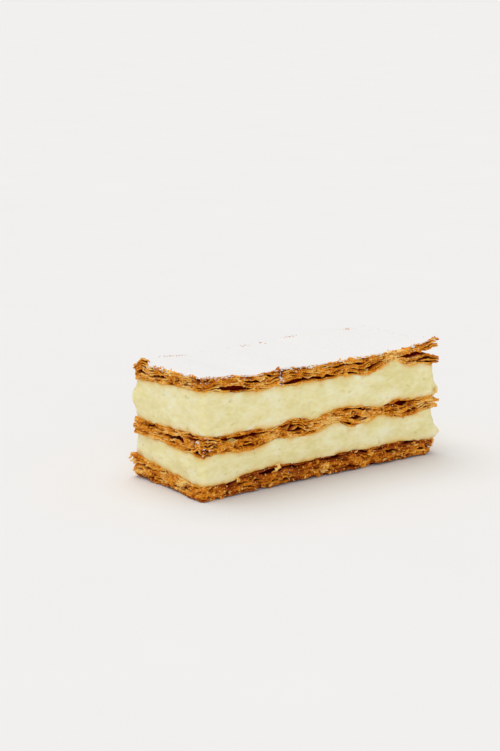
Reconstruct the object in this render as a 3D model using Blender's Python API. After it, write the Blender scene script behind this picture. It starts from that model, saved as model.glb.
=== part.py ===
"""A slice of mille feuille: three sheets of puff pastry with two layers of custard cream between them.

The slice is a bar cut from a long tray, standing on its base sheet. X runs along the long cut side, Y across
the bar and Z up, in metres, with the origin under the middle of the bar. Each layer is one closed body. Two
layers that touch share the same wavy surface, and keep a hair's gap between them.
"""

import math

import bmesh
import bpy
from mathutils import Vector, noise

MM = 0.001

# Driving dimensions.
SLICE_LENGTH = 120 * MM
SLICE_WIDTH = 47 * MM
CONTACT_GAP = 0.3 * MM

# Each layer is a block cut into this many cells along X, Y and Z. A point past this share of the block's
# length or width, counted from the middle, lies on its rim.
CELLS = (30, 12, 4)
RIM_SHARE = 0.499

# Heights of the wavy surfaces where they meet the front cut side. Each pair is a share of the length, from the
# left end, and a height over the table in millimetres.
TABLE = ((0.0, 0.0), (1.0, 0.0))
BASE_CREST = (
    (0.00, 6.0), (0.10, 5.6), (0.17, 7.8), (0.28, 8.9), (0.43, 7.9),
    (0.52, 8.2), (0.62, 8.6), (0.72, 7.8), (0.84, 8.3), (1.00, 6.0),
)
MIDDLE_UNDERSIDE = (
    (0.00, 17.4), (0.09, 18.1), (0.18, 16.9), (0.22, 17.3), (0.30, 19.6), (0.39, 18.7), (0.46, 18.8),
    (0.56, 22.0), (0.62, 18.3), (0.69, 19.0), (0.75, 21.5), (0.83, 18.8), (0.88, 18.1), (0.95, 19.4), (1.00, 19.8),
)
MIDDLE_CREST = (
    (0.00, 26.4), (0.06, 25.2), (0.22, 25.4), (0.29, 24.2), (0.385, 27.1), (0.45, 24.7), (0.50, 25.7),
    (0.57, 27.4), (0.63, 27.3), (0.69, 26.2), (0.735, 24.5), (0.83, 26.7), (0.89, 25.3), (1.00, 25.1),
)
TOP_UNDERSIDE = (
    (0.00, 44.0), (0.08, 43.0), (0.12, 41.4), (0.17, 41.2), (0.22, 40.6), (0.26, 40.6), (0.30, 41.6), (0.36, 40.0),
    (0.43, 40.9), (0.52, 40.0), (0.58, 40.7), (0.70, 39.1), (0.745, 40.8), (0.79, 43.6), (0.83, 42.8),
    (0.87, 40.1), (0.93, 40.0), (1.00, 38.6),
)
TOP_CREST = (
    (0.00, 49.5), (0.12, 48.9), (0.17, 47.8), (0.22, 47.2), (0.27, 47.9), (0.36, 48.0),
    (0.44, 47.2), (0.62, 47.2), (0.76, 47.4), (0.85, 47.5), (0.90, 48.1), (1.00, 48.3),
)

# At the front right corner the upper leaves of the top sheet lift by this much, fading out over this distance.
CORNER_LIFT = 2.1 * MM
LIFT_LENGTH = 13 * MM

# The sheets change over the width: the back cut side repeats the front one this share of the length further on.
BACK_SHIFT = 0.25

# The knife's cut wanders a little from a plane, in waves of this length.
CUT_WANDER = 0.35 * MM
CUT_WAVE = 28 * MM

# Leaves of pastry stick out past the cut by up to this much, more at the two ends than along the sides.
LEAF_REACH_END = 1.2 * MM
LEAF_REACH_SIDE = 0.7 * MM
LEAF_WAVE = 7 * MM

# The cream swells out between the sheets, more at the two ends than along the sides.
SWELL_END = 1.5 * MM
SWELL_SIDE = 0.4 * MM
SWELL_WAVE = 18 * MM

# The corners, seen from above, are drawn in by this much.
PASTRY_CORNER = 0.6 * MM
CREAM_CORNER = 1.0 * MM
CORNER_SHARPNESS = 24

# At the right end the top sheet has opened like a book, deepest at the front corner.
SPLIT_DEPTH = 6 * MM

GOLDEN_BROWN = (0.43, 0.16, 0.028)
CUSTARD_YELLOW = (0.74, 0.65, 0.36)


def smooth(t):
    """0 to 1 with level ends."""
    return t * t * (3 - 2 * t)


def height_at(share, knots):
    """The height in metres at a share of the length, read from a surface's knots along a smooth line."""
    for (start, low), (end, high) in zip(knots, knots[1:]):
        if share <= end:
            return (low + (high - low) * smooth(max(0.0, share - start) / (end - start))) * MM
    return knots[-1][1] * MM


def corner_lift(x, y):
    """How far the upper leaves of the top sheet lift towards the front right corner."""
    away = math.hypot(x - SLICE_LENGTH / 2, y + SLICE_WIDTH / 2)
    return CORNER_LIFT * smooth(max(0.0, 1 - away / LIFT_LENGTH))


def surface(x, y, knots):
    """The height of a wavy surface over the point x, y of the table."""
    along = x / SLICE_LENGTH + 0.5
    behind = 1 - abs(1 - (along + BACK_SHIFT))
    across = smooth(y / SLICE_WIDTH + 0.5)
    height = height_at(along, knots) * (1 - across) + height_at(behind, knots) * across
    return height + corner_lift(x, y) if knots is TOP_CREST else height


def wander(x, y):
    """How far the cut lies outside its plane, the same for every layer."""
    return CUT_WANDER * noise.noise(Vector((x, y, 0.0)) / CUT_WAVE)


def leaf_reach(x, y, up, at_end, seed):
    """How far the leaves of a pastry sheet stick out at a share of its thickness."""
    if up in (0.0, 1.0):
        return 0.0
    reach = LEAF_REACH_END if at_end else LEAF_REACH_SIDE
    return reach * noise.noise(Vector((x / LEAF_WAVE, y / LEAF_WAVE, seed + 4 * up)))


def swell(x, y, up, at_end, seed):
    """How far a layer of cream swells out at a share of its thickness."""
    most = SWELL_END if at_end else SWELL_SIDE
    uneven = 0.5 + noise.noise(Vector((x / SWELL_WAVE, y / SWELL_WAVE, seed + up)))
    return most * uneven * math.sin(math.pi * up)


def top_sheet_reach(x, y, up, at_end, seed):
    """The leaves of the top sheet, which has split open at the right end."""
    opened = 0.5 - y / SLICE_WIDTH
    split = SPLIT_DEPTH * opened if at_end and x > 0 and up == 0.5 else 0.0
    return leaf_reach(x, y, up, at_end, seed) - split


def block(cells):
    """A cube one unit each way round the origin, cut into a grid of cells."""
    mesh = bmesh.new()
    bmesh.ops.create_cube(mesh, size=1.0)
    for axis, count in enumerate(cells):
        along_axis = [
            edge for edge in mesh.edges
            if abs(edge.verts[0].co[axis] - edge.verts[1].co[axis]) > 0.5
        ]
        bmesh.ops.subdivide_edges(mesh, edges=along_axis, cuts=count - 1, use_grid_fill=True)
    return mesh


def shape_layer(mesh, lower, upper, reach, corner, seed):
    """Moves the points of a block to where the layer has them."""
    for point in mesh.verts:
        u, v, up = point.co.x, point.co.y, point.co.z + 0.5
        x, y = u * SLICE_LENGTH, v * SLICE_WIDTH
        low = surface(x, y, lower) + (0.0 if lower is TABLE else CONTACT_GAP)
        high = surface(x, y, upper)
        drawn_in = corner * abs(4 * u * v) ** CORNER_SHARPNESS
        place = Vector((x, y, low + (high - low) * up))
        if abs(u) > RIM_SHARE:
            outward = 1 if u > 0 else -1
            place.x += outward * (wander(x, y) + reach(x, y, up, True, seed) - drawn_in)
        if abs(v) > RIM_SHARE:
            outward = 1 if v > 0 else -1
            place.y += outward * (wander(x, y) + reach(x, y, up, False, seed) - drawn_in)
        point.co = place


def make_material(name, colour, roughness):
    material = bpy.data.materials.new(name)
    material.use_nodes = True
    shader = material.node_tree.nodes["Principled BSDF"]
    shader.inputs["Base Color"].default_value = (*colour, 1.0)
    shader.inputs["Roughness"].default_value = roughness
    shader.inputs["Metallic"].default_value = 0.0
    material.diffuse_color = (*colour, 1.0)
    return material


def make_layer(collection, name, lower, upper, reach, corner, material, seed):
    mesh = block(CELLS)
    shape_layer(mesh, lower, upper, reach, corner, seed)
    bmesh.ops.triangulate(mesh, faces=mesh.faces[:], quad_method="SHORT_EDGE")
    bmesh.ops.recalc_face_normals(mesh, faces=mesh.faces[:])
    if lower is TABLE:
        flat = [face for face in mesh.faces if face.normal.z < -0.999]
        bmesh.ops.dissolve_faces(mesh, faces=flat)
    data = bpy.data.meshes.new(name)
    mesh.to_mesh(data)
    mesh.free()
    data.shade_smooth()
    data.set_sharp_from_angle(angle=math.radians(35))
    data.materials.append(material)
    layer = bpy.data.objects.new(name, data)
    collection.objects.link(layer)
    return layer


def centre_over_origin(layers):
    """Shifts the whole stack so that its box stands centred over the origin."""
    points = [point.co for layer in layers for point in layer.data.vertices]
    for axis in (0, 1):
        low = min(co[axis] for co in points)
        high = max(co[axis] for co in points)
        for layer in layers:
            layer.location[axis] = -(low + high) / 2


def main():
    for old in list(bpy.data.objects):
        bpy.data.objects.remove(old)
    collection = bpy.data.collections.new("mille_feuille_slice")
    bpy.context.scene.collection.children.link(collection)
    pastry = make_material("puff_pastry", GOLDEN_BROWN, 0.6)
    cream = make_material("custard_cream", CUSTARD_YELLOW, 0.4)
    stack = (
        ("pastry_base", TABLE, BASE_CREST, leaf_reach, PASTRY_CORNER, pastry),
        ("cream_lower", BASE_CREST, MIDDLE_UNDERSIDE, swell, CREAM_CORNER, cream),
        ("pastry_middle", MIDDLE_UNDERSIDE, MIDDLE_CREST, leaf_reach, PASTRY_CORNER, pastry),
        ("cream_upper", MIDDLE_CREST, TOP_UNDERSIDE, swell, CREAM_CORNER, cream),
        ("pastry_top", TOP_UNDERSIDE, TOP_CREST, top_sheet_reach, PASTRY_CORNER, pastry),
    )
    layers = [
        make_layer(collection, *layer, seed=10.0 * number)
        for number, layer in enumerate(stack, start=1)
    ]
    centre_over_origin(layers)


main()
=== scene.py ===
"""The looks of a bar-shaped slice of mille feuille, made around its five packed layers.

The slice is built up as a baker does it: a base sheet of puff pastry, custard cream, a middle sheet,
more cream, a top sheet and icing sugar. X runs along the long cut side, Y across to the back and Z up,
in metres.
"""
import math
import random

import bpy
import bmesh
import numpy as np
from mathutils import Matrix, Vector, noise
from mathutils.bvhtree import BVHTree


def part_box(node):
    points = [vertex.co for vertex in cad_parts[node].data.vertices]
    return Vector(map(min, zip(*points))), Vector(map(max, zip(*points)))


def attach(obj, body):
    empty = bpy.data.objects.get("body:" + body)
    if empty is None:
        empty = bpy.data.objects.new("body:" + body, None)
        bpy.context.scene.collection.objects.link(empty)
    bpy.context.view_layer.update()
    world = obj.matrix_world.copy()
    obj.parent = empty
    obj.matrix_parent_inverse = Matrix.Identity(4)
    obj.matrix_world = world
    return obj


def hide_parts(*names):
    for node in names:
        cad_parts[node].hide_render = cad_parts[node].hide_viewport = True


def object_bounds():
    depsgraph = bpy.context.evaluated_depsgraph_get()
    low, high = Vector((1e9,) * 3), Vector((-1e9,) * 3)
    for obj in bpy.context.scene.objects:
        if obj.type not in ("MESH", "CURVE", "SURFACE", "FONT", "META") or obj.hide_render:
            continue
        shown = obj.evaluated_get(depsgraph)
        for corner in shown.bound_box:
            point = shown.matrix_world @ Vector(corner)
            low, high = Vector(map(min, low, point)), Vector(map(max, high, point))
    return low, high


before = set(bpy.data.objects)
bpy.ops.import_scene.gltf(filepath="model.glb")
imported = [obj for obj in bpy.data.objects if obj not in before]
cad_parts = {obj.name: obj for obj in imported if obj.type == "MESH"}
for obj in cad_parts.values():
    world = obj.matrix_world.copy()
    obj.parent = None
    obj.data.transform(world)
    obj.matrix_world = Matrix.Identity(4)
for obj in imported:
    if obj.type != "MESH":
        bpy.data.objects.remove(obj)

cad_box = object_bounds()


# --------------------------------------------------------------------------------------------------
# Base sheet. Puff pastry is dough and butter rolled and folded into hundreds of films, which bake into a
# stack of crisp leaves. This sheet was baked under a weight, so its leaves lie close, and the knife has
# crumbled them.
# --------------------------------------------------------------------------------------------------
MM = 0.001

# The knife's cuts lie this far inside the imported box, because leaves stick out past them.
CUT_X = (cad_box[1].x - cad_box[0].x) / 2 - 1.3 * MM
CUT_Y = (cad_box[1].y - cad_box[0].y) / 2 - 0.55 * MM

# A sheet has real leaves in a band this wide along its cuts, round a closed core that stays clear of the
# sheet's two faces.
LEAF_BAND = 6 * MM
CORE_INSET = 4 * MM
CORE_CLEARANCE = 0.25 * MM
LEAF_CORNER = 0.9 * MM

# A leaf is rolled out in cells of this size, halved twice towards its rim.
ROUGH_CELL = 1.6 * MM
HALVED_WITHIN = (3.6 * MM, 1.9 * MM)

# A sheet's leaves fill at most this share of its height, and the gaps between them the rest.
LEAVES_FILL = 0.84

# Leaves are wrinkled all over and curl near a cut. Most lie within half these heights either way.
WRINKLE = 0.3 * MM
CURL = 0.8 * MM
CURLS_WITHIN = 2.2 * MM

# Their faces and edges are rough with crumbs of this size.
CRUMB_SIZE = 0.7 * MM

# What sticks out past a cut, or is broken off, starts this far inside it.
UNEVEN_BAND = 4 * MM

# A layer's faces are felt for with rays over a grid of this many places, kept this far inside the cuts. The
# rays start this far over or under the table.
FELT_PLACES = (60, 24)
FELT_INSET = 2 * MM
START_ABOVE = 100 * MM


def face_heights(node, upward):
    """Heights of a layer's upper or lower face over a grid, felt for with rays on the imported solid."""
    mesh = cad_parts[node].data
    solid = BVHTree.FromPolygons([v.co for v in mesh.vertices], [p.vertices for p in mesh.polygons])
    along = np.linspace(-CUT_X + FELT_INSET, CUT_X - FELT_INSET, FELT_PLACES[0])
    across = np.linspace(-CUT_Y + FELT_INSET, CUT_Y - FELT_INSET, FELT_PLACES[1])
    start, way = (START_ABOVE, -1.0) if upward else (-START_ABOVE, 1.0)
    heights = [
        [solid.ray_cast(Vector((x, y, start)), Vector((0, 0, way)))[0].z for y in across]
        for x in along
    ]
    return along, across, np.array(heights)


def height_over(face, x, y):
    """A face's height over the places x, y, which may lie past its grid."""
    along, across, heights = face
    u = np.clip((x - along[0]) / (along[1] - along[0]), 0, len(along) - 1.001)
    v = np.clip((y - across[0]) / (across[1] - across[0]), 0, len(across) - 1.001)
    i, j = u.astype(int), v.astype(int)
    u, v = u - i, v - j
    near = heights[i, j] * (1 - v) + heights[i, j + 1] * v
    far = heights[i + 1, j] * (1 - v) + heights[i + 1, j + 1] * v
    return near * (1 - u) + far * u


def unevenness(points, wave, seed):
    """Smooth random values, mostly within a half either way, that change over about this distance."""
    shifted = np.asarray(points) / wave + np.array((seed * 7.31, seed * 3.17, seed * 5.71))
    return np.array([noise.noise(p) for p in shifted.tolist()])


def rise(values, low, high):
    """0 below low and 1 above high, with a smooth way between."""
    t = np.clip((values - low) / (high - low), 0, 1)
    return t * t * (3 - 2 * t)


def inside_cut(x, y):
    """How far places lie inside the nearest cut."""
    return np.minimum(CUT_X - np.abs(x), CUT_Y - np.abs(y))


def near_cut(along, cut):
    """0 further in than the uneven band along a cut, growing to 1 at the cut."""
    return np.clip((np.abs(along) - (cut - UNEVEN_BAND)) / UNEVEN_BAND, 0, 1) ** 2


def near_spot(x, y, spot_x, spot_y, length, width):
    """1 at a spot, fading out over a length and width, all in millimetres from the slice's middle."""
    away = ((x - spot_x * MM) / (length * MM)) ** 2 + ((y - spot_y * MM) / (width * MM)) ** 2
    return np.exp(-away)


def round_corners(x, y, radius):
    """Draws the square corners of a sheet in to round ones."""
    a = np.maximum(np.abs(x) - (CUT_X - radius), 0)
    b = np.maximum(np.abs(y) - (CUT_Y - radius), 0)
    shrink = np.maximum(a, b) / np.maximum(np.hypot(a, b), 1e-9)
    corner = (a > 0) & (b > 0)
    x = np.where(corner, np.sign(x) * (CUT_X - radius + a * shrink), x)
    y = np.where(corner, np.sign(y) * (CUT_Y - radius + b * shrink), y)
    return x, y


def points_of(piece):
    """A piece's points as three columns."""
    flat = np.empty(len(piece.data.vertices) * 3, np.float32)
    piece.data.vertices.foreach_get("co", flat)
    return flat.reshape(-1, 3).astype(float)


def put_points(piece, points):
    """Moves a piece's points to these places."""
    piece.data.vertices.foreach_set("co", np.asarray(points, np.float32).ravel())
    piece.data.update()


def only(*objects):
    """Selects these objects and nothing else."""
    bpy.ops.object.select_all(action="DESELECT")
    for thing in objects:
        thing.select_set(True)
    bpy.context.view_layer.objects.active = objects[0]


def depth_of(face):
    """How far the middle of a face lies inside the nearest cut."""
    return inside_cut(*face.calc_center_median().xy)


def edit_faces(piece, wanted):
    """Opens a piece for editing with the wanted faces selected."""
    only(piece)
    bpy.ops.object.mode_set(mode="EDIT")
    bpy.context.tool_settings.mesh_select_mode = (False, False, True)
    bpy.ops.mesh.select_all(action="DESELECT")
    mesh = bmesh.from_edit_mesh(piece.data)
    for face in mesh.faces:
        face.select_set(bool(wanted(face)))
    bmesh.update_edit_mesh(piece.data)


def cut_away(piece, unwanted):
    """Deletes the unwanted faces of a piece."""
    edit_faces(piece, unwanted)
    bpy.ops.mesh.delete(type="FACE")
    bpy.ops.object.mode_set(mode="OBJECT")


def rolled_out(name, cell, halved_within):
    """A flat sheet as large as the slice, in square cells, halved within these distances of a cut."""
    bpy.ops.object.select_all(action="DESELECT")
    bpy.ops.mesh.primitive_grid_add(
        x_subdivisions=round(2 * CUT_X / cell), y_subdivisions=round(2 * CUT_Y / cell), size=1
    )
    sheet = bpy.context.object
    sheet.name = name
    sheet.scale = (2 * CUT_X, 2 * CUT_Y, 1)
    bpy.ops.object.transform_apply(location=True, rotation=True, scale=True)
    for distance in halved_within:
        edit_faces(sheet, lambda face: depth_of(face) < distance)
        bpy.ops.mesh.subdivide(number_cuts=1)
        bpy.ops.object.mode_set(mode="OBJECT")
    return sheet


def as_block(sheet, rows):
    """Makes a flat sheet a closed block, one unit tall, with this many rows of faces up its walls."""
    only(sheet)
    bpy.ops.object.mode_set(mode="EDIT")
    bpy.ops.mesh.select_all(action="SELECT")
    bpy.ops.mesh.extrude_region_move(TRANSFORM_OT_translate={"value": (0, 0, -1)})
    if rows > 1:
        bpy.context.tool_settings.mesh_select_mode = (False, True, False)
        bpy.ops.mesh.select_all(action="DESELECT")
        mesh = bmesh.from_edit_mesh(sheet.data)
        for edge in mesh.edges:
            edge.select_set(abs(edge.verts[0].co.z - edge.verts[1].co.z) > 0.5)
        bmesh.update_edit_mesh(sheet.data)
        bpy.ops.mesh.subdivide(number_cuts=rows - 1)
    bpy.ops.mesh.select_all(action="SELECT")
    bpy.ops.mesh.normals_make_consistent(inside=False)
    bpy.ops.object.mode_set(mode="OBJECT")


def copy_of(piece, name):
    """A copy with a mesh of its own."""
    copy = piece.copy()
    copy.data = piece.data.copy()
    copy.name = name
    bpy.context.scene.collection.objects.link(copy)
    return copy


def finish_with(piece, kind, **settings):
    """Adds a modifier to a piece and applies it."""
    only(piece)
    modifier = piece.modifiers.new(kind.lower(), kind)
    for key, value in settings.items():
        setattr(modifier, key, value)
    bpy.ops.object.modifier_apply(modifier=modifier.name)


def mark(piece, name, values):
    """Writes a value for each point, which a material can read."""
    attribute = piece.data.attributes.new(name, "FLOAT", "POINT")
    attribute.data.foreach_set("value", np.asarray(values, np.float32))


def joined(pieces, name):
    """Joins pieces into one."""
    only(*pieces)
    bpy.ops.object.join()
    whole = bpy.context.object
    whole.name = name
    whole.data.name = name
    return whole


leaf_blank = rolled_out("leaf_blank", ROUGH_CELL, HALVED_WITHIN)
cut_away(leaf_blank, lambda face: depth_of(face) > LEAF_BAND)

core_blank = rolled_out("core_blank", 3 * MM, ())
flat_core = points_of(core_blank)
flat_core[:, 0] *= 1 - CORE_INSET / CUT_X
flat_core[:, 1] *= 1 - CORE_INSET / CUT_Y
put_points(core_blank, flat_core)

leaf_crumble = bpy.data.textures.new("leaf_crumble", "CLOUDS")
leaf_crumble.noise_scale = CRUMB_SIZE
leaf_crumble.noise_depth = 2


def leaf_levels(places, low, high, count, thickness, blisters, openness, seed):
    """Heights of the middle of each of a sheet's leaves over these places, from the lowest leaf up.

    The leaves lie on each other, and what height is left over goes to the gaps between them: mostly to a
    few, blown open to flat blisters. Each large blister is (x, y, gap, length, width, blown): its place and
    size in millimetres, which gap it opens, from 0 over the lowest leaf, and how hard the steam blew.
    """
    x, y = places[:, 0], places[:, 1]
    pitch = np.minimum(LEAVES_FILL * (high - low) / count, thickness)
    spare = high - low - pitch * count
    gaps = []
    for gap in range(count - 1):
        loose = unevenness(places, 8 * MM, seed + gap)
        loose = loose + 0.5 * unevenness(places, 3.2 * MM, seed + gap + 40)
        opening = np.exp(openness * loose)
        for spot_x, spot_y, at, length, width, blown in blisters:
            if at == gap:
                opening = opening + blown * near_spot(x, y, spot_x, spot_y, length, width)
        gaps.append(opening)
    opened = np.vstack([np.zeros(len(x)), np.cumsum(gaps, axis=0)])
    opened = opened / opened[-1]
    return [low + pitch * (number + 0.5) + spare * opened[number] for number in range(count)]


def bake_core(node, lower, upper):
    """The closed core of a sheet, between its lower and upper face."""
    core = copy_of(core_blank, f"{node}_core")
    as_block(core, rows=1)
    places = points_of(core)
    low = height_over(lower, places[:, 0], places[:, 1]) + CORE_CLEARANCE
    high = height_over(upper, places[:, 0], places[:, 1]) - CORE_CLEARANCE
    places[:, 2] = np.where(places[:, 2] < -0.5, low, high)
    put_points(core, places)
    # The core is coloured darker than a usual leaf and is marked as in the stack, so it also gets the full
    # painted shade: painted shade deep between the leaves, where it shows.
    mark(core, "leaf_tone", np.full(len(places), 0.2))
    mark(core, "in_stack", np.ones(len(places)))
    return core


def bake_sheet(
    node, count, thickness, reach, crumble, openness, seed, browning_and_shade, blisters, tongues=(), lifts=()
):
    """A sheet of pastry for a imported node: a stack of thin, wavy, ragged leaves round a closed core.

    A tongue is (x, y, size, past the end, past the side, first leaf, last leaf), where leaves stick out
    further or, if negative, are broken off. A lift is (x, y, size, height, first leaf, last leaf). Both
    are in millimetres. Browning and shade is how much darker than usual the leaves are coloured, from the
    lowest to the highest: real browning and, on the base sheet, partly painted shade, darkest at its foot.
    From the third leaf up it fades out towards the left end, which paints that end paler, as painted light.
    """
    lower, upper = face_heights(node, False), face_heights(node, True)
    flat = points_of(leaf_blank)
    x, y = flat[:, 0], flat[:, 1]
    low, high = height_over(lower, x, y), height_over(upper, x, y)
    levels = leaf_levels(flat, low, high, count, thickness, blisters, openness, seed)
    at_end, at_side = near_cut(x, CUT_X), near_cut(y, CUT_Y)
    rim = rise(-inside_cut(x, y), -CURLS_WITHIN, 0)
    leaves = []
    for number in range(count):
        wide = unevenness(flat + (0, 0, number * 2.0 * MM), 6 * MM, seed + 100)
        ragged = unevenness(flat + (0, 0, number * 0.5 * MM), 1.4 * MM, seed + 101)
        chipped = rise(unevenness(flat + (0, 0, number * 1.4 * MM), 3.6 * MM, seed + 102), 0.14, 0.34)
        out = reach * (0.9 * wide + 0.6 * ragged - 1.5 * chipped)
        past_end, past_side = 1.2 * out, out
        wrinkle = WRINKLE * unevenness(flat + (0, 0, number * 0.8 * MM), 2.4 * MM, seed + 103)
        curl = CURL * unevenness(flat + (0, 0, number * 1.8 * MM), 5 * MM, seed + 104) * rim
        z = levels[number] + wrinkle + curl
        for spot_x, spot_y, size, further_end, further_side, first, last in tongues:
            if first <= number <= last:
                near = near_spot(x, y, spot_x, spot_y, size, size)
                past_end = past_end + further_end * MM * near
                past_side = past_side + further_side * MM * near
        for spot_x, spot_y, size, height, first, last in lifts:
            if first <= number <= last:
                near = near_spot(x, y, spot_x, spot_y, size, size)
                z = z + height * MM * near * (number - first + 1) / (last - first + 1)
        leaf_x = x + np.sign(x) * at_end * past_end
        leaf_y = y + np.sign(y) * at_side * past_side
        leaf_x, leaf_y = round_corners(leaf_x, leaf_y, LEAF_CORNER)
        leaf = copy_of(leaf_blank, f"{node}_leaf_{number}")
        put_points(leaf, np.column_stack((leaf_x, leaf_y, np.maximum(z, thickness / 2))))
        finish_with(leaf, "SOLIDIFY", thickness=thickness, offset=0)
        finish_with(
            leaf, "DISPLACE", texture=leaf_crumble, strength=crumble, mid_level=0.5, texture_coords="LOCAL"
        )
        places = points_of(leaf)
        # Browning and shade: real browning and, on the base sheet, partly painted shade. Fading it out
        # towards the left end paints that end paler, as painted light.
        baked = np.interp(number / (count - 1), np.linspace(0, 1, len(browning_and_shade)), browning_and_shade)
        if number > 1:
            baked = baked * rise(places[:, 0], -CUT_X + 1 * MM, -CUT_X + 8 * MM)
        tone = 0.5 - baked + 0.6 * unevenness(places, 7 * MM, seed + 105) + 0.14 * math.sin(2.4 * number)
        mark(leaf, "leaf_tone", tone)
        # Leaves under another leaf, marked in_stack, get the painted shade deep inside a cut. A sheet's top
        # leaf gets none.
        mark(leaf, "in_stack", np.full(len(places), float(number < count - 1)))
        leaves.append(leaf)
    sheet = joined(leaves + [bake_core(node, lower, upper)], node + "_leaves")
    points = points_of(sheet)
    points[:, 2] = np.maximum(points[:, 2], 0)
    put_points(sheet, points)
    only(sheet)
    bpy.ops.object.shade_smooth_by_angle(angle=math.radians(50))
    return sheet


def linear(hex_colour):
    """A colour written as sRGB hex, as the linear numbers that shaders take."""
    parts = [int(hex_colour[at:at + 2], 16) / 255 for at in (0, 2, 4)]
    return (*(c / 12.92 if c <= 0.04045 else ((c + 0.055) / 1.055) ** 2.4 for c in parts), 1.0)


def add(tree, kind, settings, **links):
    """Adds a node to a material with its settings and the outputs that feed its sockets."""
    node = tree.nodes.new("ShaderNode" + kind)
    for key, value in settings.items():
        if key == "ramp":
            while len(node.color_ramp.elements) < len(value):
                node.color_ramp.elements.new(0.5)
            for element, (position, colour) in zip(node.color_ramp.elements, value):
                element.position = position
                element.color = linear(colour)
        elif isinstance(key, int) or key in node.inputs:
            node.inputs[key].default_value = value
        else:
            setattr(node, key, value)
    for key, output in links.items():
        socket = int(key[1:]) if key[0] == "_" else key.replace("_", " ")
        tree.links.new(output, node.inputs[socket])
    return node


def new_material(name):
    """An empty material, its tree, and the coordinates of the piece that wears it."""
    material = bpy.data.materials.new(name)
    material.use_nodes = True
    tree = material.node_tree
    tree.nodes.clear()
    return material, tree, add(tree, "TexCoord", {}).outputs["Object"]


# Baked puff pastry: dry starch and butter, golden where a leaf's edge is thin. From half a millimetre to
# two
# inside a cut, leaves that lie under another leaf, and the core, are multiplied towards dark chestnut:
# painted shade between the leaves of a stack. Loose crumbs and the bare top leaf of each sheet get no
# painted shade and stay golden. It is matt, with a faint buttery glint and a grain of crumbs.
baked_pastry, tree, place = new_material("puff_pastry_baked")
broad = add(tree, "TexNoise", {"Scale": 1 / (7 * MM), "Detail": 3.0}, Vector=place)
fine = add(tree, "TexNoise", {"Scale": 1 / (0.9 * MM), "Detail": 4.0, "Roughness": 0.6}, Vector=place)
tone = add(tree, "Attribute", {"attribute_name": "leaf_tone"})
toned = add(tree, "Math", {"operation": "MULTIPLY_ADD", 1: 0.35, 2: -0.26}, _0=tone.outputs["Fac"])
clouded = add(
    tree, "Math", {"operation": "MULTIPLY_ADD", 1: 0.6},
    _0=broad.outputs["Fac"], _2=toned.outputs["Value"],
)
shifted = add(
    tree, "Math", {"operation": "MULTIPLY_ADD", 1: 0.65},
    _0=fine.outputs["Fac"], _2=clouded.outputs["Value"],
)
browned = add(
    tree, "ValToRGB",
    {"ramp": ((0.25, "8E3A04"), (0.42, "CB7410"), (0.55, "EC9E26"), (0.73, "F9D27E"))},
    Fac=shifted.outputs["Value"],
)
axes = add(tree, "SeparateXYZ", {}, Vector=place)
from_ends = add(tree, "Math", {"operation": "ABSOLUTE"}, _0=axes.outputs["X"])
from_sides = add(tree, "Math", {"operation": "ABSOLUTE"}, _0=axes.outputs["Y"])
end_depth = add(tree, "Math", {"operation": "SUBTRACT", 0: CUT_X}, _1=from_ends.outputs["Value"])
side_depth = add(tree, "Math", {"operation": "SUBTRACT", 0: CUT_Y}, _1=from_sides.outputs["Value"])
depth_in = add(
    tree, "Math", {"operation": "MINIMUM"}, _0=end_depth.outputs["Value"], _1=side_depth.outputs["Value"]
)
# Painted shade: from 0.5 to 2 mm inside a cut the colour darkens towards 9C2A02, on leaves under another
# leaf and on the core.
painted_shade_inside_cut = add(
    tree, "MapRange", {"From Min": 0.5 * MM, "From Max": 2.0 * MM, "To Min": 0.0, "To Max": 1.0},
    Value=depth_in.outputs["Value"],
)
in_stack = add(tree, "Attribute", {"attribute_name": "in_stack"})
painted_shade_between_leaves = add(
    tree, "Math", {"operation": "MULTIPLY"}, _0=painted_shade_inside_cut.outputs["Result"], _1=in_stack.outputs["Fac"]
)
darker = add(
    tree, "Mix", {"data_type": "RGBA", "blend_type": "MULTIPLY", 7: linear("9C2A02")},
    _0=painted_shade_between_leaves.outputs["Value"], _6=browned.outputs["Color"],
)
grain = add(tree, "TexNoise", {"Scale": 1 / (0.4 * MM), "Detail": 3.0}, Vector=place)
bump = add(tree, "Bump", {"Strength": 0.6, "Distance": 0.15 * MM}, Height=grain.outputs["Fac"])
pastry_shader = add(
    tree, "BsdfPrincipled", {"Roughness": 0.7, "Specular IOR Level": 0.12},
    Base_Color=darker.outputs[2], Normal=bump.outputs["Normal"],
)
add(tree, "OutputMaterial", {}, Surface=pastry_shader.outputs["BSDF"])

base_sheet = bake_sheet(
    "pastry_base", count=9, thickness=0.72 * MM, reach=0.8 * MM, crumble=0.5 * MM, openness=6.5, seed=11,
    # The base's lowest leaf is darkest: partly browned on the tray, partly painted shade at the foot.
    browning_and_shade=(1.3, 0.45, 0.3, 0.45, 0.7, 0.95),
    blisters=(
        (-46, -23, 7, 4, 4, 30), (-29, -23, 7, 6, 4, 90), (-18, -23, 7, 6, 4, 90), (-6, -23, 5, 5, 4, 30),
        (6, -23, 7, 5, 4, 80), (24, -23, 7, 7, 4, 90), (36, -23, 5, 5, 4, 50), (47, -23, 7, 7, 4, 30),
        (-60, 15, 5, 4, 6, 50),
    ),
    tongues=(
        (-60, 21, 3.2, 2.6, 0.4, 8, 8), (-60, 21, 5, 1.0, 0.2, 3, 7), (-60, -22, 12, 0.5, 0.5, 1, 3),
        (60, -22, 8, -0.8, -0.3, 0, 4), (0, 0, 500, -2.4, -2.2, 0, 0),
    ),
    lifts=((-63, 22, 4.0, 2.2, 7, 8),),
)
base_sheet.data.materials.append(baked_pastry)
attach(base_sheet, "root")
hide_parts("pastry_base")


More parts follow.
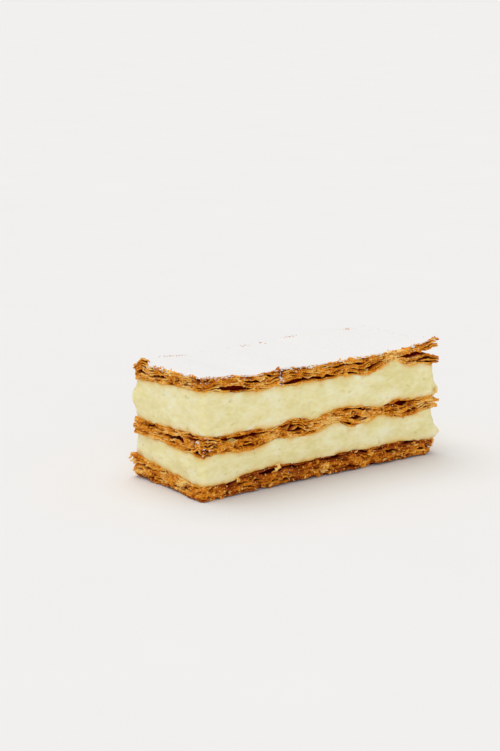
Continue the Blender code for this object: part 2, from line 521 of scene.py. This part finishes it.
# --------------------------------------------------------------------------------------------------
# Lower custard cream. Cooked custard let down with butter and cream, piped on thick and set in the cold.
# The knife has dragged its cut faces smooth, with soft lumps, a few tiny holes and swellings at the ends.
# --------------------------------------------------------------------------------------------------
# The cream's walls are in rows this tall, its upright corners are this round, and it reaches this far into
# the pastry, so that no gap shows. A wavy layer is usually about this share of its box's height.
CREAM_CELL = 0.5 * MM
CREAM_CORNER = 2.2 * MM
CREAM_INTO_PASTRY = 0.35 * MM
USUAL_SHARE = 0.8

# Butter and browned crumbs from the pastry stain the cream golden to about this far from a sheet.
BUTTER_SEEPS = 0.9 * MM

cream_blank = rolled_out("cream_blank", 2 * MM, (4.4 * MM, 2.1 * MM))


def pipe_cream(node, swell_end, swell_side, bulges, seed):
    """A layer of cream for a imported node: a closed block with soft, lumpy, swollen walls.

    A bulge is (end, across, up, wide, tall, out): at the left end, -1, or the right one, 1, centred this
    far across and up, this wide and tall, and sticking out this much. Heights are shares of the layer's,
    and the rest are millimetres.
    """
    lower, upper = face_heights(node, False), face_heights(node, True)
    low_corner, high_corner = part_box(node)
    block = copy_of(cream_blank, node + "_cut")
    as_block(block, rows=round((high_corner.z - low_corner.z) * USUAL_SHARE / CREAM_CELL))
    places = points_of(block)
    x, y, up = places[:, 0], places[:, 1], places[:, 2] + 1
    low = height_over(lower, x, y) - CREAM_INTO_PASTRY
    high = height_over(upper, x, y) + CREAM_INTO_PASTRY
    z = low + (high - low) * up
    solid = np.column_stack((x, y, z))
    at_end, at_side = near_cut(x, CUT_X), near_cut(y, CUT_Y)
    belly = np.sin(np.pi * np.clip(up, 0, 1)) ** 0.7
    loose = 0.45 + unevenness(solid, 16 * MM, seed)
    soft = 0.5 * MM * unevenness(solid, 7 * MM, seed + 1)
    small = 0.18 * MM * unevenness(solid, 2.6 * MM, seed + 2)
    dragged = 0.12 * MM * unevenness(solid * (0.3, 0.3, 1.0), 1.5 * MM, seed + 3)
    torn_patches = rise(unevenness(solid, 6 * MM, seed + 6), 0.0, 0.25)
    torn = torn_patches * 0.26 * MM * unevenness(solid, 1.6 * MM, seed + 7)
    lip = -0.5 * MM * (1 - belly) * (0.6 + unevenness(solid, 3.5 * MM, seed + 4))
    holes = -0.45 * MM * rise(unevenness(solid, 2.2 * MM, seed + 5), 0.68, 0.84)
    out = soft + small + dragged + torn + lip + holes
    swollen = swell_end * loose * belly
    for end, across, height, wide, tall, further in bulges:
        away = ((y - across * MM) / (wide * MM)) ** 2 + ((up - height) / tall) ** 2
        swollen = swollen + further * MM * np.exp(-away) * (np.sign(x) == end)
    x = x + np.sign(x) * at_end * (out * 1.2 + swollen)
    y = y + np.sign(y) * at_side * (out + swell_side * loose * belly)
    x, y = round_corners(x, y, CREAM_CORNER)
    put_points(block, np.column_stack((x, y, z)))
    to_pastry = np.maximum(np.minimum(z - low, high - z) - CREAM_INTO_PASTRY, 0)
    seeping = 0.8 + 1.2 * unevenness(solid, 5 * MM, seed + 8)
    mark(block, "butter_stain", np.clip(seeping, 0, 1) * np.exp(-to_pastry / BUTTER_SEEPS))
    only(block)
    bpy.ops.object.shade_smooth()
    return block


# Custard cream: set egg custard with butter, pale yellow and slightly see-through at thin lips, with a
# satin wet gloss. It is faintly cloudy, smeared lengthwise by the knife, with a few deeper yellow flecks of
# cooked egg and a golden stain along the pastry.
custard, tree, place = new_material("custard_cream_set")
smeared = add(tree, "Mapping", {"Scale": (0.55, 0.55, 1.0)}, Vector=place).outputs["Vector"]
cloudy = add(tree, "TexNoise", {"Scale": 1 / (5 * MM), "Detail": 3.0}, Vector=smeared)
mottled = add(tree, "TexNoise", {"Scale": 1 / (1.4 * MM), "Detail": 2.0}, Vector=smeared)
blended = add(
    tree, "Math", {"operation": "MULTIPLY_ADD", 1: 0.5},
    _0=mottled.outputs["Fac"], _2=cloudy.outputs["Fac"],
)
yellowed = add(
    tree, "ValToRGB",
    {"ramp": ((0.55, "EADF9E"), (0.74, "F2E8B0"), (0.95, "F8F2CA"))},
    Fac=blended.outputs["Value"],
)
egg_flecks = add(tree, "TexNoise", {"Scale": 1 / (2.2 * MM), "Detail": 1.0}, Vector=smeared)
fleck = add(
    tree, "MapRange", {"From Min": 0.64, "From Max": 0.78, "To Min": 0.0, "To Max": 0.5},
    Value=egg_flecks.outputs["Fac"],
)
flecked = add(
    tree, "Mix", {"data_type": "RGBA", 7: linear("D2C062")},
    _0=fleck.outputs["Result"], _6=yellowed.outputs["Color"],
)
stain = add(tree, "Attribute", {"attribute_name": "butter_stain"})
stained = add(
    tree, "Mix", {"data_type": "RGBA", 7: linear("EAB446")},
    _0=stain.outputs["Fac"], _6=flecked.outputs[2],
)
skin = add(tree, "TexNoise", {"Scale": 1 / (1.1 * MM), "Detail": 3.0}, Vector=place)
bump = add(tree, "Bump", {"Strength": 0.25, "Distance": 0.15 * MM}, Height=skin.outputs["Fac"])
custard_shader = add(
    tree, "BsdfPrincipled",
    {
        "Roughness": 0.42, "Specular IOR Level": 0.4, "Subsurface Weight": 0.35,
        "Subsurface Radius": (1.0, 0.75, 0.35), "Subsurface Scale": 2 * MM,
    },
    Base_Color=stained.outputs[2], Normal=bump.outputs["Normal"],
)
add(tree, "OutputMaterial", {}, Surface=custard_shader.outputs["BSDF"])

lower_cream = pipe_cream(
    "cream_lower", swell_end=0.7 * MM, swell_side=0.3 * MM, seed=31,
    bulges=((1, -22, 0.22, 6, 0.2, 3.2), (1, -22, 0.5, 8, 0.3, 0.6), (-1, 10, 0.4, 8, 0.3, 0.6)),
)
lower_cream.data.materials.append(custard)
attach(lower_cream, "root")
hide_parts("cream_lower")


# --------------------------------------------------------------------------------------------------
# Middle sheet. The same puff pastry, baked with less weight on it, so its leaves have blown apart into
# dark blisters. It is laid on the first layer of cream and sinks into it in waves.
# --------------------------------------------------------------------------------------------------
middle_sheet = bake_sheet(
    "pastry_middle", count=9, thickness=0.55 * MM, reach=0.9 * MM, crumble=0.35 * MM, openness=6.5, seed=23,
    browning_and_shade=(-0.05, 0.1),
    blisters=(
        (-57, -23, 6, 7, 7, 9), (-54, -23, 4, 6, 7, 12), (-58, -23, 2, 7, 7, 8), (-38, -23, 6, 6, 4, 60),
        (-36, -23, 2, 5, 4, 40), (-28, -23, 3, 4, 4, 20), (-18, -23, 6, 4, 4, 60), (-12, -23, 3, 3, 4, 50),
        (-7, -23, 5, 4, 4, 60), (3, -23, 6, 5, 4, 20), (14, -23, 7, 5, 4, 60), (22, -23, 7, 3.5, 4, 300),
        (18, -23, 3, 4, 4, 260), (14.5, -23, 0, 2.5, 4, 120), (41, -23, 7, 5, 5, 300),
        (36, -23, 3, 4, 4, 80), (-60, -6, 4, 4, 5, 40), (-60, 12, 6, 4, 6, 80), (-60, 17, 3, 4, 6, 30),
    ),
    tongues=(
        (60, -22, 5, 3.4, 0.2, 4, 6), (60, -22, 7, 1.6, 0.0, 0, 3), (60, -22, 7, 1.0, 0.0, 7, 8),
        (-60, 20, 8, 1.0, 0.2, 0, 8),
    ),
)
middle_sheet.data.materials.append(baked_pastry)
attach(middle_sheet, "root")
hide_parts("pastry_middle")


# --------------------------------------------------------------------------------------------------
# Upper custard cream. The thicker of the two layers, piped from the same batch over the middle sheet. The
# top sheet presses it out at the ends.
# --------------------------------------------------------------------------------------------------
upper_cream = pipe_cream(
    "cream_upper", swell_end=0.6 * MM, swell_side=0.3 * MM, seed=37,
    bulges=(
        (-1, 21, 0.56, 6, 0.22, 1.9), (-1, 22, 0.1, 6, 0.12, -0.8), (-1, 0, 0.35, 8, 0.2, 0.5),
        (1, -22, 0.75, 7, 0.16, -0.3), (1, -22, 0.2, 6, 0.2, 2.7), (1, 10, 0.5, 9, 0.3, 0.9),
    ),
)
upper_cream.data.materials.append(custard)
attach(upper_cream, "root")
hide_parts("cream_upper")


# --------------------------------------------------------------------------------------------------
# Top sheet. Puff pastry again, with its flat side up for the sugar. At the right end it has sprung open:
# the upper leaves lift away from the lower ones, highest at the front corner.
# --------------------------------------------------------------------------------------------------
top_sheet = bake_sheet(
    "pastry_top", count=9, thickness=0.52 * MM, reach=0.8 * MM, crumble=0.35 * MM, openness=6.5, seed=47,
    browning_and_shade=(-0.05, 0.1),
    blisters=(
        (-57, -23, 6, 3, 4, 80), (-45, -23, 0, 7, 4, 260), (-38, -23, 4, 2, 3, 90),
        (-34, -23, 4, 3, 4, 120), (-26, -23, 2, 4, 4, 30), (-5, -23, 0, 8, 4, 260),
        (-1, -23, 6, 3, 3, 90), (8, -23, 5, 4.5, 3, 120), (18, -23, 5, 4, 3, 120),
        (14.5, -23, 0, 4, 3, 160), (27, -23, 4, 7, 4, 60), (27, -23, 2, 8, 4, 120),
        (19, -23, 7, 5, 4, 50), (38, -23, 3, 8, 4, 160), (50, -23, 3, 6, 4, 120),
        (52, -23, 1, 5, 4, 80), (64, -24, 3, 4.5, 12, 1300), (64, -24, 0, 9, 12, 120),
        (64, -24, 1, 9, 12, 120), (64, -24, 5, 9, 12, 100), (64, -24, 7, 9, 12, 80),
        (-60, 5, 3, 4, 8, 50),
    ),
    tongues=(
        (60, -22, 6, 1.2, 0.3, 4, 8), (60, -22, 6, 1.9, 0.3, 0, 2), (60, -22, 8, -1.5, -0.3, 3, 3),
        (-21, -23.5, 1.4, 0.0, -2.2, 4, 8), (37, -23.5, 6, 0.0, 1.1, 4, 8), (37, -23.5, 5, 0.0, 0.4, 0, 3),
    ),
    lifts=((-60, 17, 2.6, 2.6, 4, 8), (-60, 24, 2.6, -1.4, 4, 8)),
)
top_sheet.data.materials.append(baked_pastry)
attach(top_sheet, "root")
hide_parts("pastry_top")


# --------------------------------------------------------------------------------------------------
# Icing sugar. Powdered sugar sieved thickly over the top sheet after the slice was put together. It lies
# like dry snow: filled into the wrinkles, thin at the rim, and missing in a few specks near the back.
# --------------------------------------------------------------------------------------------------
SUGAR_CELL = 0.5 * MM
SUGAR_PAST_CUT = 1.0 * MM

# It lies this deep over the sheet's usual height, at least this deep over a raised leaf and at most this
# deep along the rim. Where it ends, its skin dips this far into the pastry. The skin itself is this thick.
SUGAR_DEPTH = 0.3 * MM
SUGAR_LEAST = 0.1 * MM
SUGAR_AT_RIM = 0.35 * MM
SUGAR_DIP = 0.1 * MM
SUGAR_SKIN = 0.15 * MM

# Sugar doesn't bridge a drop of more than this below the sheet's usual height, but falls past it.
SUGAR_FALLS = 1.1 * MM

# The lifted corner leaf is bare, and near the back the sugar is worn to specks, in patches of x, y and
# length, each this wide. All are in millimetres.
BARE_WIDTH = 1.8
BARE_LIFT = (-61, 17.5)
BARE_PATCHES = ((-45, 22.4, 4), (-39, 22, 3), (-6, 21.8, 2.5), (3, 21.3, 1.5), (17, 22, 3), (50, 21, 2.5))


def draped_over(piece, x, y, usual):
    """Heights of a piece's top over these places, felt for from above, and whether sugar holds there."""
    skin = BVHTree.FromObject(piece, bpy.context.evaluated_depsgraph_get())
    heights = usual.copy()
    there = np.zeros(len(x))
    for index, (px, py) in enumerate(zip(x, y)):
        place = skin.ray_cast(Vector((px, py, START_ABOVE)), Vector((0, 0, -1)))[0]
        if place is not None and place.z > usual[index] - SUGAR_FALLS:
            heights[index] = place.z
            there[index] = 1
    return heights, there


sugar = rolled_out("icing_sugar_dusting", SUGAR_CELL, ())
flat = points_of(sugar)
flat[:, 0] *= 1 + SUGAR_PAST_CUT / CUT_X
flat[:, 1] *= 1 + SUGAR_PAST_CUT / CUT_Y
x, y = flat[:, 0], flat[:, 1]
at_front_or_left = np.maximum(rise(-y, CUT_Y - 6 * MM, CUT_Y), rise(-x, CUT_X - 8 * MM, CUT_X))
ragged_rim = -1.4 * MM + 1.6 * MM * at_front_or_left
ragged_rim = ragged_rim + 1.0 * MM * unevenness(flat, 3 * MM, 61)
ragged_rim = ragged_rim + 0.8 * MM * unevenness(flat, 1.2 * MM, 62)
cover = rise(inside_cut(x, y) - ragged_rim, 0, 1.0 * MM)
speckle = unevenness(flat, 1.4 * MM, 63) + 0.6 * unevenness(flat, 0.8 * MM, 64)
near_bare = np.zeros(len(flat))
for bare_x, bare_y, length in BARE_PATCHES:
    near_bare = np.maximum(near_bare, near_spot(x, y, bare_x, bare_y, length, BARE_WIDTH))
cover = cover * (1 - rise(speckle + 0.9 * near_bare, 0.95, 1.05))
cover = cover * rise(np.hypot(x - BARE_LIFT[0] * MM, y - BARE_LIFT[1] * MM), 3.2 * MM, 4.4 * MM)
drift = 0.12 * MM * unevenness(flat, 9 * MM, 65) + 0.1 * MM * unevenness(flat, 2.2 * MM, 66)
powder = 0.10 * MM * unevenness(flat, 0.9 * MM, 67)
crest = height_over(face_heights("pastry_top", True), x, y)
under, there = draped_over(top_sheet, x, y, crest)
cover = cover * there
laid = np.maximum(under + SUGAR_LEAST, crest + SUGAR_DEPTH + drift + powder)
at_rim = rise(-inside_cut(x, y), -2.5 * MM, 0)
laid = laid * (1 - at_rim) + np.minimum(laid, under + SUGAR_AT_RIM) * at_rim
put_points(sugar, np.column_stack((x, y, under - SUGAR_DIP + (laid - under + SUGAR_DIP) * cover)))
cut_away(sugar, lambda face: all(cover[point.index] < 0.02 for point in face.verts))
finish_with(sugar, "SOLIDIFY", thickness=SUGAR_SKIN, offset=-1)
only(sugar)
bpy.ops.object.shade_smooth()

# Icing sugar: ground sugar with a little starch, dead matt and almost pure white. The hollows between its
# clumps, the low places of its bump, are painted a faint warm grey: painted shade.
powdered, tree, place = new_material("icing_sugar_sieved")
clumps = add(tree, "TexNoise", {"Scale": 1 / (0.7 * MM), "Detail": 4.0, "Roughness": 0.65}, Vector=place)
# Painted shade: the same noise that bumps the sugar colours its low places a faint warm grey.
white_with_painted_shade = add(
    tree, "ValToRGB", {"ramp": ((0.35, "E8E6E4"), (0.65, "EEECEA"))}, Fac=clumps.outputs["Fac"]
)
bump = add(tree, "Bump", {"Strength": 0.35, "Distance": 0.1 * MM}, Height=clumps.outputs["Fac"])
sugar_shader = add(
    tree, "BsdfPrincipled", {"Roughness": 0.9, "Specular IOR Level": 0.15},
    Base_Color=white_with_painted_shade.outputs["Color"], Normal=bump.outputs["Normal"],
)
add(tree, "OutputMaterial", {}, Surface=sugar_shader.outputs["BSDF"])
sugar.data.materials.append(powdered)
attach(sugar, "root")


# --------------------------------------------------------------------------------------------------
# Crumbs and flakes. The knife shatters the crisp leaves, and the pieces stay stuck along the cut faces:
# crumbs like coarse sand, and thin curved flakes a few millimetres across.
# --------------------------------------------------------------------------------------------------
# Level rays that feel for a cut start this far outside it.
START_OUTSIDE = 10 * MM

# The sugar's back edge is clean: at the back, bits on the top sheet's cut stay below these heights.
CRUMBS_BELOW = 46.5 * MM
FLAKES_BELOW = 45.5 * MM
FLAPS_BELOW = 45.0 * MM


def spots_on_cuts(sheet, node, count, deepest, seed, shares=(0.0, 1.0)):
    """Places on a sheet's cut faces, felt for with level rays from outside, and the way out at each."""
    lower, upper = face_heights(node, False), face_heights(node, True)
    skin = BVHTree.FromObject(sheet, bpy.context.evaluated_depsgraph_get())
    chance = random.Random(seed)
    spots = []
    while len(spots) < count:
        side = chance.choice((-1, 1))
        if chance.random() * (CUT_X + CUT_Y) < CUT_X:
            x, y, way = chance.uniform(-CUT_X, CUT_X), side * CUT_Y, Vector((0, -side, 0))
        else:
            x, y, way = side * CUT_X, chance.uniform(-CUT_Y, CUT_Y), Vector((-side, 0, 0))
        low = height_over(lower, np.array([x]), np.array([y]))[0]
        high = height_over(upper, np.array([x]), np.array([y]))[0]
        start = Vector((x, y, low + (high - low) * chance.uniform(*shares))) - way * START_OUTSIDE
        place, _, _, distance = skin.ray_cast(start, way)
        if place is not None and distance - START_OUTSIDE < deepest:
            spots.append((place, -way))
    return spots


def kept_low_at_back(spots, highest):
    """The spots without those above this height in the back half."""
    return [spot for spot in spots if spot[0].y < 0 or spot[0].z < highest]


def spots_on_rim(sheet, count, widest, seed):
    """Places on the top of a sheet close to its front and left cuts, felt for with rays from above."""
    skin = BVHTree.FromObject(sheet, bpy.context.evaluated_depsgraph_get())
    chance = random.Random(seed)
    spots = []
    while len(spots) < count:
        inside = widest * chance.random() ** 1.5
        if chance.random() * (CUT_X + 2 * CUT_Y) < CUT_X:
            x, y = chance.uniform(-CUT_X, CUT_X), inside - CUT_Y
        else:
            x, y = 1.5 * inside - CUT_X, chance.uniform(-CUT_Y, CUT_Y)
        place = skin.ray_cast(Vector((x, y, START_ABOVE)), Vector((0, 0, -1)))[0]
        if place is not None and noise.noise(Vector((x, y, seed)) / (7 * MM)) > 0.05:
            spots.append((place, Vector((0, 0, 1))))
    return spots


def scattered(name, shape, spots, size, flatness, sunk, tilt, tone, seed, facing_out=False):
    """One mesh of many copies of a small closed shape, each of its own size, turn and unevenness.

    Their flat sides face up and down or, if asked for, out of the cut.
    """
    chance = np.random.default_rng(seed)
    pattern = points_of(shape)
    faces = np.array([list(face.vertices) for face in shape.data.polygons])
    points, loops = [], []
    for number, (place, out) in enumerate(spots):
        large = size[0] + (size[1] - size[0]) * chance.random() ** 2
        stretch = np.array((1.0, chance.uniform(0.6, 1.0), flatness * chance.uniform(0.7, 1.3)))
        uneven = pattern * (1 + chance.uniform(-0.28, 0.28, (len(pattern), 1)))
        swing = 0.6 if facing_out else math.pi
        angles = chance.uniform(-tilt, tilt), chance.uniform(-tilt, tilt), chance.uniform(-swing, swing)
        turn = (Matrix.Rotation(angles[0], 3, "X") @ Matrix.Rotation(angles[1], 3, "Y")
                @ Matrix.Rotation(angles[2], 3, "Z"))
        if facing_out:
            turn = out.to_track_quat("Z", "Y").to_matrix() @ turn
        centre = np.array(place) - np.array(out) * large * sunk
        points.append(uneven * stretch * large @ np.array(turn).T + centre)
        loops.append(faces + number * len(pattern))
    mesh = bpy.data.meshes.new(name)
    mesh.from_pydata(np.vstack(points).tolist(), [], np.vstack(loops).tolist())
    whole = bpy.data.objects.new(name, mesh)
    bpy.context.scene.collection.objects.link(whole)
    mark(whole, "leaf_tone", np.repeat(chance.uniform(*tone, len(spots)), len(pattern)))
    points = points_of(whole)
    points[:, 2] = np.maximum(points[:, 2], 0)
    put_points(whole, points)
    return whole


bpy.ops.object.select_all(action="DESELECT")
bpy.ops.mesh.primitive_ico_sphere_add(subdivisions=1, radius=0.5)
crumb_shape = bpy.context.object
crumb_spots = (
    spots_on_cuts(base_sheet, "pastry_base", 1500, 0.9 * MM, 71)
    + spots_on_cuts(middle_sheet, "pastry_middle", 800, 0.7 * MM, 72)
    + kept_low_at_back(spots_on_cuts(top_sheet, "pastry_top", 900, 0.7 * MM, 73), CRUMBS_BELOW)
)
crumbs = scattered(
    "pastry_crumbs", crumb_shape, crumb_spots, size=(0.35 * MM, 1.1 * MM), flatness=0.7, sunk=0.15,
    tilt=3.1, tone=(0.0, 1.0), seed=74,
)

# Some crumbs lie loose along the sugar's front and left rim, and coarser ones have gathered at the foot.
rim_crumbs = scattered(
    "pastry_crumbs_on_rim", crumb_shape, spots_on_rim(top_sheet, 300, 2.2 * MM, 95),
    size=(0.35 * MM, 1.2 * MM), flatness=0.6, sunk=0.1, tilt=3.1, tone=(-0.2, 0.8), seed=96,
)
foot_spots = spots_on_cuts(base_sheet, "pastry_base", 85, 1.6 * MM, 87, (0.1, 0.35))
foot_crumbs = scattered(
    "pastry_crumbs_at_foot", crumb_shape, foot_spots, size=(0.8 * MM, 1.9 * MM), flatness=0.7, sunk=0.1,
    tilt=3.1, tone=(0.3, 1.1), seed=88,
)

# Where the sugar is worn to specks, crumbs of the top leaf show through it.
chance = random.Random(97)
sugar_skin = BVHTree.FromObject(sugar, bpy.context.evaluated_depsgraph_get())
worn_spots = []
for bare_x, bare_y, length in BARE_PATCHES:
    for _ in range(round(7 * length)):
        x, y = chance.gauss(bare_x, length / 2) * MM, chance.gauss(bare_y, 1.0) * MM
        place = sugar_skin.ray_cast(Vector((x, y, START_ABOVE)), Vector((0, 0, -1)))[0]
        if place is not None:
            worn_spots.append((place, Vector((0, 0, 1))))
worn_crumbs = scattered(
    "pastry_crumbs_in_sugar", crumb_shape, worn_spots, size=(0.3 * MM, 0.9 * MM), flatness=0.5, sunk=0.1,
    tilt=0.4, tone=(-0.6, 0.6), seed=98,
)
crumbs = joined([crumbs, foot_crumbs, rim_crumbs, worn_crumbs], "pastry_crumbs")
crumbs.data.materials.append(baked_pastry)
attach(crumbs, "root")

bpy.ops.object.select_all(action="DESELECT")
bpy.ops.mesh.primitive_grid_add(x_subdivisions=4, y_subdivisions=3, size=1)
flake_shape = bpy.context.object
bent = points_of(flake_shape)
bent[:, 2] = 0.5 * bent[:, 0] ** 2 - 0.35 * bent[:, 1] ** 2
put_points(flake_shape, bent)
finish_with(flake_shape, "SOLIDIFY", thickness=0.14, offset=0)
flake_spots = (
    spots_on_cuts(base_sheet, "pastry_base", 150, 1.2 * MM, 75)
    + spots_on_cuts(middle_sheet, "pastry_middle", 200, 1.2 * MM, 76)
    + kept_low_at_back(spots_on_cuts(top_sheet, "pastry_top", 220, 1.2 * MM, 77), FLAKES_BELOW)
)
flakes = scattered(
    "pastry_flakes", flake_shape, flake_spots, size=(0.9 * MM, 3.0 * MM), flatness=1.0, sunk=0.2, tilt=0.6,
    tone=(0.1, 1.2), seed=78,
)

# Flaps are flakes that lie flat against a cut.
flap_spots = (
    spots_on_cuts(base_sheet, "pastry_base", 60, 0.8 * MM, 91)
    + spots_on_cuts(middle_sheet, "pastry_middle", 40, 0.8 * MM, 92)
    + kept_low_at_back(spots_on_cuts(top_sheet, "pastry_top", 40, 0.8 * MM, 93), FLAPS_BELOW)
)
flaps = scattered(
    "pastry_flaps", flake_shape, flap_spots, size=(1.2 * MM, 2.8 * MM), flatness=1.0, sunk=0.05, tilt=0.5,
    tone=(0.2, 0.8), seed=94, facing_out=True,
)

# A few flakes stand off the corners at the right end and the base sheet's back left corner. Each has its
# place in millimetres and the way that its flat side faces.
STANDING = (
    ((60.2, -24.0, 27.4), (0, -1, 0)),
    ((60.4, -24.0, 28.5), (0.2, -1, 0)),
    ((60.9, -23.8, 26.8), (-0.2, -1, 0)),
    ((62.6, -22.6, 9.8), (0, -1, 0.8)),
    ((-62.8, 21.6, 9.9), (-0.5, -1, 0.5)),
    ((-63.2, 22.4, 8.6), (-0.8, -1, -0.2)),
    ((-62.6, 20.6, 8.0), (-1, -0.7, 0.4)),
    ((-62.9, 21.8, 7.2), (-1, -0.4, -0.4)),
)
standing_spots = [(Vector(place) * MM, Vector(out)) for place, out in STANDING]
standing = scattered(
    "pastry_flakes_standing", flake_shape, standing_spots, size=(1.2 * MM, 1.7 * MM), flatness=1.0,
    sunk=0.0, tilt=0.5, tone=(0.6, 1.1), seed=99, facing_out=True,
)
flakes = joined([flakes, flaps, standing], "pastry_flakes")
flakes.data.materials.append(baked_pastry)
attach(flakes, "root")


# --------------------------------------------------------------------------------------------------
# Sugar grains. Some of the sieved sugar rolls off the top and sticks to the broken rim below it and to the
# ledges of the other sheets. It has gathered in tiny clumps in the crack in the front edge and at the
# middle sheet's front left corner.
# --------------------------------------------------------------------------------------------------
in_crack = [
    spot for spot in spots_on_cuts(top_sheet, "pastry_top", 6000, 2.5 * MM, 89)
    if abs(spot[0].x + 21 * MM) < 1.4 * MM and spot[0].y < 0
]
on_corner = [
    spot for spot in spots_on_cuts(middle_sheet, "pastry_middle", 2500, 1.5 * MM, 90)
    if math.hypot(spot[0].x + 60 * MM, spot[0].y + 23 * MM) < 4 * MM
]
grain_spots = (
    spots_on_cuts(top_sheet, "pastry_top", 420, 1.5 * MM, 81, (0.72, 1.05))
    + spots_on_cuts(top_sheet, "pastry_top", 120, 1.5 * MM, 82, (0.2, 0.72))
    + spots_on_cuts(middle_sheet, "pastry_middle", 60, 1.0 * MM, 83, (0.5, 1.0))
    + spots_on_cuts(base_sheet, "pastry_base", 50, 1.0 * MM, 84, (0.3, 1.0))
    + spots_on_rim(top_sheet, 450, 2.0 * MM, 86)
    + in_crack
    + on_corner
)
grains = scattered(
    "icing_sugar_grains", crumb_shape, grain_spots, size=(0.15 * MM, 0.6 * MM), flatness=0.8, sunk=0.1,
    tilt=3.1, tone=(0.5, 0.5), seed=85,
)
sugar_clumps = scattered(
    "icing_sugar_clumps", crumb_shape, on_corner[::3] + in_crack[::4], size=(0.5 * MM, 1.6 * MM),
    flatness=0.6, sunk=0.2, tilt=3.1, tone=(0.5, 0.5), seed=100,
)
grains = joined([grains, sugar_clumps], "icing_sugar_grains")
grains.data.materials.append(powdered)
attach(grains, "root")


# --------------------------------------------------------------------------------------------------
# Studio. A white table that runs off past the view on all sides, in a bright room. A broad window lies
# above and behind the slice, so its shadow is soft and falls to the front, and a low white screen lights
# the two cut sides.
# --------------------------------------------------------------------------------------------------
# The blanks and small shapes that the pieces were copied from are put away.
for blank in (leaf_blank, core_blank, cream_blank, crumb_shape, flake_shape):
    bpy.data.objects.remove(blank)

bpy.ops.object.select_all(action="DESELECT")
bpy.ops.mesh.primitive_plane_add(size=40, location=(0, 0, 0))
floor = bpy.context.object
floor.name = "table_top"

# White backing paper: pressed cellulose, dead matt, with a cloudiness too faint to see as a pattern.
paper, tree, place = new_material("white_table_paper")
paper_tooth = add(tree, "TexNoise", {"Scale": 1 / (60 * MM), "Detail": 2.0}, Vector=place)
paper_white = add(
    tree, "ValToRGB", {"ramp": ((0.3, "EAE9E8"), (0.7, "EBEAE9"))}, Fac=paper_tooth.outputs["Fac"]
)
paper_shader = add(
    tree, "BsdfPrincipled", {"Roughness": 0.8, "Specular IOR Level": 0.0},
    Base_Color=paper_white.outputs["Color"],
)
add(tree, "OutputMaterial", {}, Surface=paper_shader.outputs["BSDF"])
floor.data.materials.append(paper)

world = bpy.data.worlds.new("overcast_room")
bpy.context.scene.world = world
world.use_nodes = True
world.node_tree.nodes["Background"].inputs["Color"].default_value = (1.0, 0.995, 0.99, 1.0)
world.node_tree.nodes["Background"].inputs["Strength"].default_value = 0.6


def soft_sun(name, way, strength, spread):
    """A far-off lamp that lights the whole table evenly and gives soft-edged shadows."""
    lamp = bpy.data.lights.new(name, "SUN")
    lamp.energy = strength
    lamp.angle = math.radians(spread)
    holder = bpy.data.objects.new(name, lamp)
    bpy.context.scene.collection.objects.link(holder)
    holder.rotation_euler = Vector(way).to_track_quat("-Z", "Y").to_euler()


soft_sun("window_light", (0.05, -0.34, -1.0), strength=1.41, spread=55)
soft_sun("white_screen", (0.50, 0.80, -0.20), strength=0.6, spread=40)

CAMERA_PLACE = (-0.4924, -0.6324, 0.2274)
CAMERA_TURN = math.radians(-36.8)
CAMERA_DIP = math.radians(13.3)
CAMERA_LENS = 95.87
camera_data = bpy.data.cameras.new("camera")
camera_data.lens = CAMERA_LENS
camera_data.sensor_width = 36
camera_data.clip_start = 0.01
camera = bpy.data.objects.new("camera", camera_data)
bpy.context.scene.collection.objects.link(camera)
camera.location = CAMERA_PLACE
camera.rotation_euler = (math.pi / 2 - CAMERA_DIP, 0, CAMERA_TURN)
bpy.context.scene.camera = camera
bpy.context.scene.view_settings.view_transform = "Standard"
